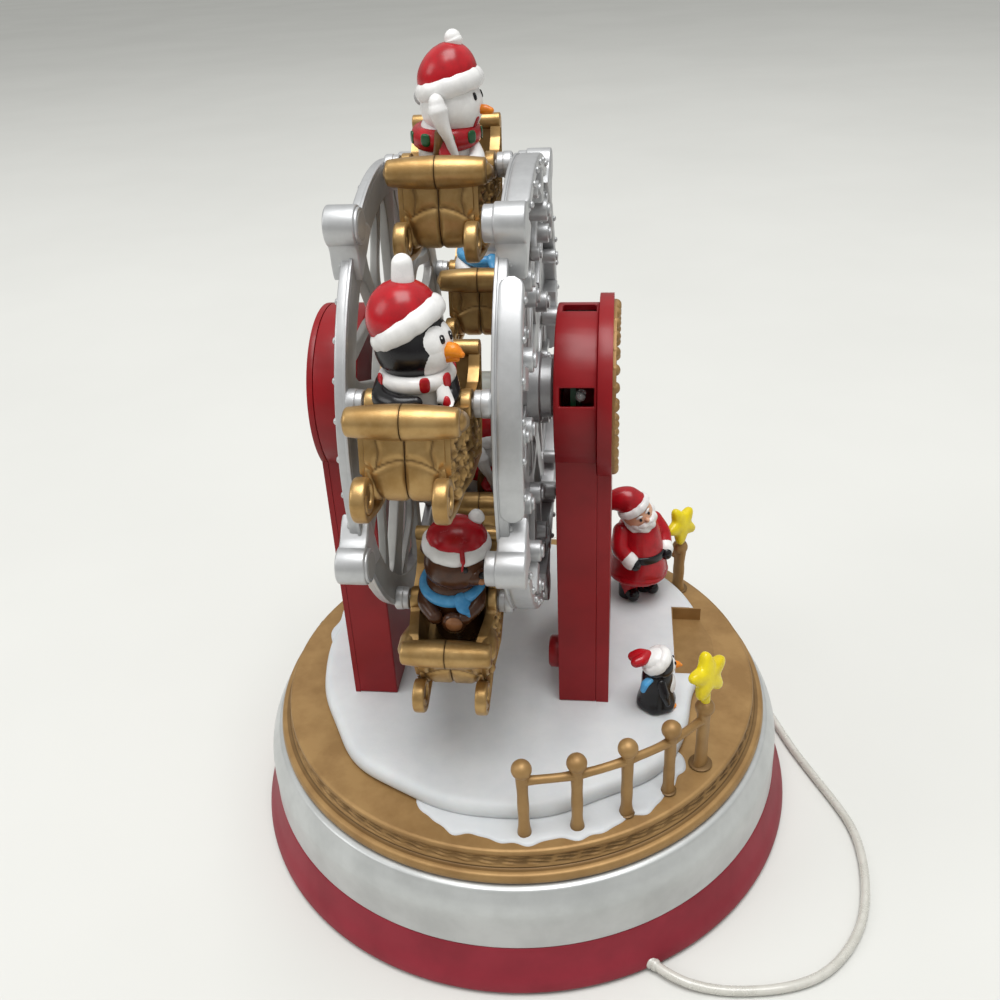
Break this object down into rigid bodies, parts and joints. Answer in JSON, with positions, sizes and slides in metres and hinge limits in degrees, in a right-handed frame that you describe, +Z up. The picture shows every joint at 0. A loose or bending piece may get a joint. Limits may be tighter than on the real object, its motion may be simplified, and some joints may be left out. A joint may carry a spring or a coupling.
{
  "type": "musical christmas ferris wheel",
  "caption": "Lit, motor driven Christmas ferris wheel with sleigh gondolas on a round musical base with a snowy stage, fence and figures.",
  "frame": {"origin": "middle of the round base, on the surface that the rubber feet stand on", "axes": "+Z up, +X along the wheel's axle towards the front plate, +Y to the left of someone facing +X"},
  "size_m": [0.224, 0.2538, 0.2645],
  "materials": {
    "red_plastic": "satin moulded",
    "silver_paint": "metallic paint",
    "gold_paint": "metallic paint",
    "snow_plastic": "matt painted",
    "black_plastic": "moulded",
    "foot_rubber": "soft",
    "screw_steel": "zinc plated",
    "board_green": "lacquered",
    "cone_paper": "pressed",
    "lamp_clear": "clear",
    "bush_nylon": "moulded",
    "figure_paint": "hand painted resin",
    "santa_paint": "hand painted resin",
    "star_yellow": "painted",
    "cord_clear": "clear flexible"
  },
  "bodies": {
    "base": {"lower_shell": "red_plastic", "silver_band": "silver_paint", "stage_ring": "gold_paint", "snow_stage": "snow_plastic", "bottom_plate": "red_plastic", "rubber_feet": "foot_rubber", "bottom_screws": "screw_steel", "circuit_board": "board_green", "board_parts": "black_plastic", "speaker_frame": "screw_steel", "speaker_cone": "cone_paper", "switch_case": "black_plastic", "volume_case": "black_plastic", "front_tower": "red_plastic", "front_plate": "red_plastic", "bead_ring": "gold_paint", "led_board": "board_green", "front_leds": "lamp_clear", "boss_cap": "red_plastic", "rear_tower": "red_plastic", "rear_cover": "red_plastic", "drive_motor": "screw_steel", "motor_screws": "screw_steel", "tower_screws": "screw_steel", "front_bush": "bush_nylon", "rear_bush": "bush_nylon", "front_fence": "gold_paint", "back_fence": "gold_paint", "fence_stars": "star_yellow", "santa_figure": "santa_paint", "little_penguin": "figure_paint", "cord_gland": "cord_clear", "power_cord": "cord_clear", "cord_coil": "cord_clear", "cord_plug": "cord_clear"},
    "wheel": {"front_wheel": "silver_paint", "rear_wheel": "silver_paint", "wheel_axle": "screw_steel", "axle_clip": "screw_steel", "hub_spacer": "silver_paint", "drive_sleeve": "screw_steel"},
    "switch_slider_body": {"switch_slider": "black_plastic"},
    "volume_knob_body": {"volume_knob": "black_plastic"},
    "gondola_1": {"sleigh_1_front": "gold_paint", "sleigh_1_rear": "gold_paint", "rider_1": "figure_paint"},
    "gondola_2": {"sleigh_2_front": "gold_paint", "sleigh_2_rear": "gold_paint", "rider_2": "figure_paint"},
    "gondola_3": {"sleigh_3_front": "gold_paint", "sleigh_3_rear": "gold_paint", "rider_3": "figure_paint"},
    "gondola_4": {"sleigh_4_front": "gold_paint", "sleigh_4_rear": "gold_paint", "rider_4": "figure_paint"},
    "gondola_5": {"sleigh_5_front": "gold_paint", "sleigh_5_rear": "gold_paint", "rider_5": "figure_paint"}
  },
  "joints": [
    {"name": "wheel_spin", "type": "hinge", "parent": "base", "child": "wheel", "pos_m": [0, 0, 0.1623], "axis": [1, 0, 0], "continuous": true},
    {"name": "gondola_1_swing", "type": "hinge", "parent": "wheel", "child": "gondola_1", "pos_m": [0, -0.06226, 0.18628], "axis": [1, 0, 0], "continuous": true},
    {"name": "gondola_2_swing", "type": "hinge", "parent": "wheel", "child": "gondola_2", "pos_m": [0, 0.00356, 0.22892], "axis": [1, 0, 0], "continuous": true},
    {"name": "gondola_3_swing", "type": "hinge", "parent": "wheel", "child": "gondola_3", "pos_m": [0, 0.06446, 0.1795], "axis": [1, 0, 0], "continuous": true},
    {"name": "gondola_4_swing", "type": "hinge", "parent": "wheel", "child": "gondola_4", "pos_m": [0, 0.03628, 0.10631], "axis": [1, 0, 0], "continuous": true},
    {"name": "gondola_5_swing", "type": "hinge", "parent": "wheel", "child": "gondola_5", "pos_m": [0, -0.04204, 0.11049], "axis": [1, 0, 0], "continuous": true},
    {"name": "switch_slide", "type": "slide", "parent": "base", "child": "switch_slider_body", "axis": [-0.788, -0.6157, 0], "range_m": [0, 0.004]},
    {"name": "volume_turn", "type": "hinge", "parent": "base", "child": "volume_knob_body", "pos_m": [-0.08503, 0.04147, 0.0245], "axis": [-0.8988, 0.4384, 0], "range_deg": [-135, 135]}
  ],
  "couplings": [
    {"joint": "gondola_1_swing", "follows": "wheel_spin", "ratio": -1},
    {"joint": "gondola_2_swing", "follows": "wheel_spin", "ratio": -1},
    {"joint": "gondola_3_swing", "follows": "wheel_spin", "ratio": -1},
    {"joint": "gondola_4_swing", "follows": "wheel_spin", "ratio": -1},
    {"joint": "gondola_5_swing", "follows": "wheel_spin", "ratio": -1}
  ]
}
